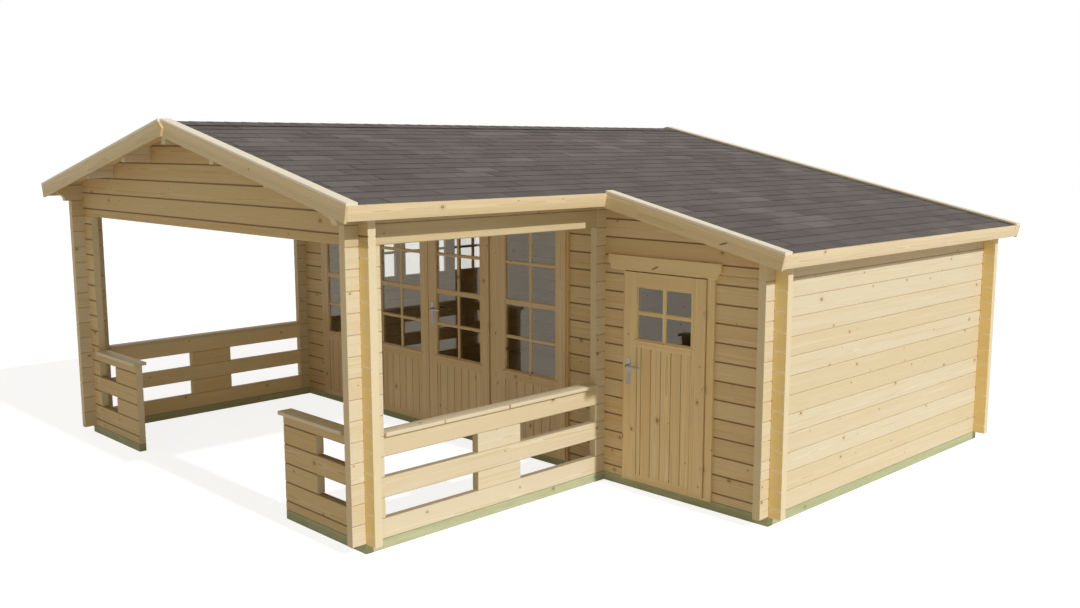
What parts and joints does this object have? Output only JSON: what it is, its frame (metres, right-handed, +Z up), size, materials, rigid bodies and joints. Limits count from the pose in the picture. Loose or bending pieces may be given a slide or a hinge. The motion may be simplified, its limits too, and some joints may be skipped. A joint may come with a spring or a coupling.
{
  "type": "log cabin",
  "caption": "Interlocking-log garden cabin with a roofed open verandah, glazed double door, fixed glazed side panels and a lower side store under one shingled gable roof.",
  "frame": {"origin": "on the ground under the ridge, in the middle of the bottom face of the beam under the room's front wall", "axes": "+X to the right as seen from the front, towards the side store; +Y to the back; +Z up"},
  "size_m": [6.1284, 5.866, 2.759],
  "materials": {
    "impregnated_beam": "pressure-impregnated green spruce, rough sawn",
    "log_wood": "planed fresh spruce, untreated",
    "trim_wood": "planed spruce boards",
    "joinery_wood": "planed and sanded spruce joinery",
    "roof_board": "tongued and grooved spruce boards",
    "shingle": "mineral-faced bitumen shingle, matt",
    "window_glass": "clear float glass",
    "handle_metal": "satin silver",
    "hinge_metal": "zinc plated"
  },
  "bodies": {
    "cabin": {"foundation_long_beams": "impregnated_beam", "foundation_cross_beams": "impregnated_beam", "front_left_corner_post": "log_wood", "front_right_corner_post": "log_wood", "left_railing_logs": "log_wood", "right_railing_logs": "log_wood", "railing_blocks": "log_wood", "left_parapet_logs": "log_wood", "right_parapet_logs": "log_wood", "parapet_blocks": "log_wood", "eave_beams": "log_wood", "front_gable_wall": "log_wood", "left_side_wall": "log_wood", "partition_wall": "log_wood", "store_side_wall": "log_wood", "cabin_front_wall": "log_wood", "cabin_front_gable": "log_wood", "store_front_wall": "log_wood", "store_front_header": "log_wood", "rear_wall": "log_wood", "roof_purlins": "log_wood", "handrails": "trim_wood", "parapet_caps": "trim_wood", "barge_boards": "trim_wood", "barge_caps": "trim_wood", "eave_fascias": "trim_wood", "roof_deck_left": "roof_board", "roof_deck_right": "roof_board", "shingles_left": "shingle", "shingles_right": "shingle", "ridge_cap": "shingle", "door_set_frame": "joinery_wood", "side_light_sashes": "joinery_wood", "store_door_frame": "joinery_wood", "side_window_frame": "joinery_wood", "side_window_sashes": "joinery_wood", "side_light_glass": "window_glass", "side_window_glass": "window_glass"},
    "left_door": {"left_door_leaf": "joinery_wood", "left_door_glass": "window_glass", "left_door_hinges": "hinge_metal"},
    "right_door": {"right_door_leaf": "joinery_wood", "right_door_glass": "window_glass", "right_door_hinges": "hinge_metal", "right_door_plates": "handle_metal"},
    "right_handle": {"right_door_lever": "handle_metal"},
    "store_door": {"store_door_leaf": "joinery_wood", "store_door_glass": "window_glass", "store_door_hinges": "hinge_metal", "store_door_plates": "handle_metal"},
    "store_handle": {"store_door_lever": "handle_metal"}
  },
  "joints": [
    {"name": "left_door_hinge", "type": "hinge", "parent": "cabin", "child": "left_door", "pos_m": [-0.812, -0.0685, 0], "axis": [0, 0, -1], "range_deg": [0, 110]},
    {"name": "right_door_hinge", "type": "hinge", "parent": "cabin", "child": "right_door", "pos_m": [0.812, -0.0685, 0], "axis": [0, 0, 1], "range_deg": [0, 110]},
    {"name": "right_handle_turn", "type": "hinge", "parent": "right_door", "child": "right_handle", "pos_m": [0.062, -0.062, 1.125], "axis": [0, 1, 0], "range_deg": [0, 40], "stiffness_Nm_per_rad": 1, "springref_deg": -11.46},
    {"name": "store_door_hinge", "type": "hinge", "parent": "cabin", "child": "store_door", "pos_m": [3.068, -0.0685, 0], "axis": [0, 0, 1], "range_deg": [0, 110]},
    {"name": "store_handle_turn", "type": "hinge", "parent": "store_door", "child": "store_handle", "pos_m": [2.369, -0.062, 0.947], "axis": [0, 1, 0], "range_deg": [0, 40], "stiffness_Nm_per_rad": 1, "springref_deg": -11.46}
  ]
}
